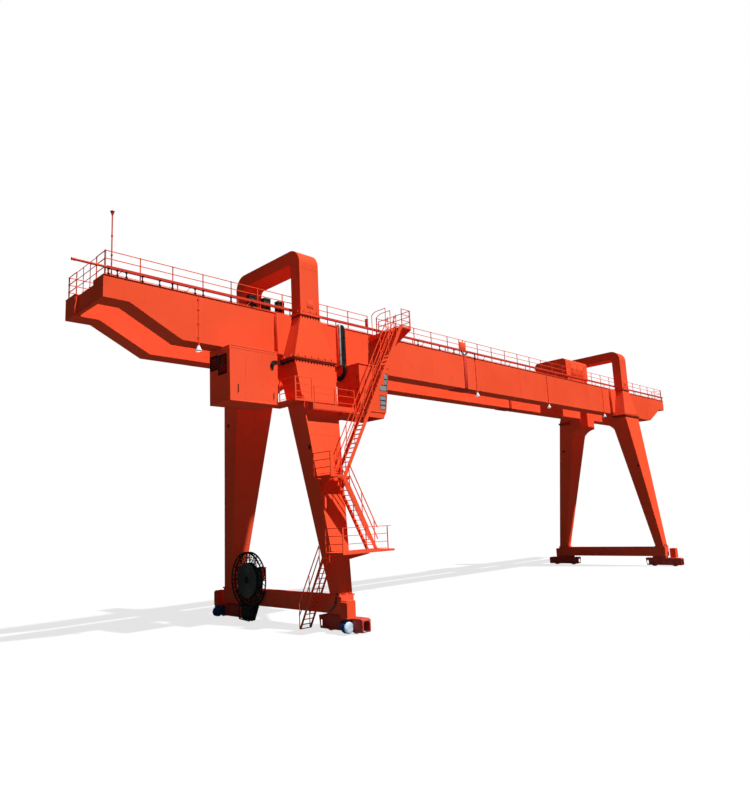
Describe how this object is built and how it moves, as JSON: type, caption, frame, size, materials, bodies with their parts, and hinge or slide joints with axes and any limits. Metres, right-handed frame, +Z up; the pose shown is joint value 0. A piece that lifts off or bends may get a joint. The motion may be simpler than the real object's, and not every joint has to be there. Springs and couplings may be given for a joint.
{
  "type": "1:2 scale model of a gantry crane",
  "caption": "Double-girder rail-mounted gantry crane with saddle frames over the girders, tapered legs, cab, stairs and a travelling trolley; half-size model.",
  "frame": {"origin": "on the ground, midway between the two leg frames and between the two rails", "axes": "+X along the girders, towards the frame without stairs; +Y away from the side with the stairs; +Z up"},
  "size_m": [27.4, 5.86, 9.126],
  "materials": {
    "paint": "satin",
    "dark_paint": "satin",
    "steel": "satin",
    "cast": "rough",
    "glass": "gloss",
    "drive_paint": "satin",
    "lamp": "satin",
    "reel": "satin",
    "rope": "rough"
  },
  "bodies": {
    "crane": {"near_girder": "paint", "far_girder": "paint", "end_beams": "paint", "trolley_rails": "steel", "left_saddle": "paint", "right_saddle": "paint", "leg_heads": "paint", "left_near_leg": "paint", "left_far_leg": "paint", "right_near_leg": "paint", "right_far_leg": "paint", "left_sill_beam": "paint", "right_sill_beam": "paint", "left_near_bogie": "paint", "left_far_bogie": "paint", "right_near_bogie": "paint", "right_far_bogie": "paint", "travel_drives": "drive_paint", "electrical_room": "paint", "operator_cab": "paint", "cab_windows": "glass", "upper_doors": "paint", "cab_platform": "paint", "cab_platform_railing": "paint", "top_landing": "paint", "upper_stair": "paint", "middle_landing": "paint", "middle_stair": "paint", "lower_landing": "paint", "lower_stair": "paint", "stair_handrails": "paint", "landing_railings": "paint", "near_railing": "paint", "far_railing": "paint", "end_railings": "paint", "cable_track": "paint", "resistor_boxes": "dark_paint", "mast": "dark_paint", "floodlights": "lamp", "reel_stand": "paint"},
    "cable_reel": {"cable_reel": "reel"},
    "trolley": {"trolley_frame": "paint", "trolley_house": "paint"},
    "hook": {"hook_block": "paint", "hoist_ropes": "rope"},
    "left_near_outer_wheel": {"left_near_outer_wheel": "cast"},
    "left_near_inner_wheel": {"left_near_inner_wheel": "cast"},
    "left_far_outer_wheel": {"left_far_outer_wheel": "cast"},
    "left_far_inner_wheel": {"left_far_inner_wheel": "cast"},
    "right_near_outer_wheel": {"right_near_outer_wheel": "cast"},
    "right_near_inner_wheel": {"right_near_inner_wheel": "cast"},
    "right_far_outer_wheel": {"right_far_outer_wheel": "cast"},
    "right_far_inner_wheel": {"right_far_inner_wheel": "cast"},
    "trolley_left_near_wheel": {"trolley_left_near_wheel": "cast"},
    "trolley_left_far_wheel": {"trolley_left_far_wheel": "cast"},
    "trolley_right_near_wheel": {"trolley_right_near_wheel": "cast"},
    "trolley_right_far_wheel": {"trolley_right_far_wheel": "cast"}
  },
  "joints": [
    {"name": "trolley_travel", "type": "slide", "parent": "crane", "child": "trolley", "axis": [1, 0, 0], "range_m": [-18.2, 6.38]},
    {"name": "hoist", "type": "slide", "parent": "trolley", "child": "hook", "axis": [0, 0, -1], "range_m": [0, 5.8], "deforming": ["hoist_ropes"]},
    {"name": "cable_reel_spin", "type": "hinge", "parent": "crane", "child": "cable_reel", "pos_m": [-9.031, 1.05, 1.03], "axis": [1, 0, 0], "continuous": true},
    {"name": "left_near_outer_wheel_spin", "type": "hinge", "parent": "crane", "child": "left_near_outer_wheel", "pos_m": [-8.75, -2.627, 0.15], "axis": [1, 0, 0], "continuous": true},
    {"name": "left_near_inner_wheel_spin", "type": "hinge", "parent": "crane", "child": "left_near_inner_wheel", "pos_m": [-8.75, -1.807, 0.15], "axis": [1, 0, 0], "continuous": true},
    {"name": "left_far_outer_wheel_spin", "type": "hinge", "parent": "crane", "child": "left_far_outer_wheel", "pos_m": [-8.75, 2.627, 0.15], "axis": [1, 0, 0], "continuous": true},
    {"name": "left_far_inner_wheel_spin", "type": "hinge", "parent": "crane", "child": "left_far_inner_wheel", "pos_m": [-8.75, 1.807, 0.15], "axis": [1, 0, 0], "continuous": true},
    {"name": "right_near_outer_wheel_spin", "type": "hinge", "parent": "crane", "child": "right_near_outer_wheel", "pos_m": [8.75, -2.627, 0.15], "axis": [1, 0, 0], "continuous": true},
    {"name": "right_near_inner_wheel_spin", "type": "hinge", "parent": "crane", "child": "right_near_inner_wheel", "pos_m": [8.75, -1.807, 0.15], "axis": [1, 0, 0], "continuous": true},
    {"name": "right_far_outer_wheel_spin", "type": "hinge", "parent": "crane", "child": "right_far_outer_wheel", "pos_m": [8.75, 2.627, 0.15], "axis": [1, 0, 0], "continuous": true},
    {"name": "right_far_inner_wheel_spin", "type": "hinge", "parent": "crane", "child": "right_far_inner_wheel", "pos_m": [8.75, 1.807, 0.15], "axis": [1, 0, 0], "continuous": true},
    {"name": "trolley_left_near_wheel_spin", "type": "hinge", "parent": "trolley", "child": "trolley_left_near_wheel", "pos_m": [5.311, -0.62, 7.5903], "axis": [0, 1, 0], "continuous": true},
    {"name": "trolley_left_far_wheel_spin", "type": "hinge", "parent": "trolley", "child": "trolley_left_far_wheel", "pos_m": [5.311, 0.62, 7.5903], "axis": [0, 1, 0], "continuous": true},
    {"name": "trolley_right_near_wheel_spin", "type": "hinge", "parent": "trolley", "child": "trolley_right_near_wheel", "pos_m": [6.511, -0.62, 7.5903], "axis": [0, 1, 0], "continuous": true},
    {"name": "trolley_right_far_wheel_spin", "type": "hinge", "parent": "trolley", "child": "trolley_right_far_wheel", "pos_m": [6.511, 0.62, 7.5903], "axis": [0, 1, 0], "continuous": true}
  ]
}
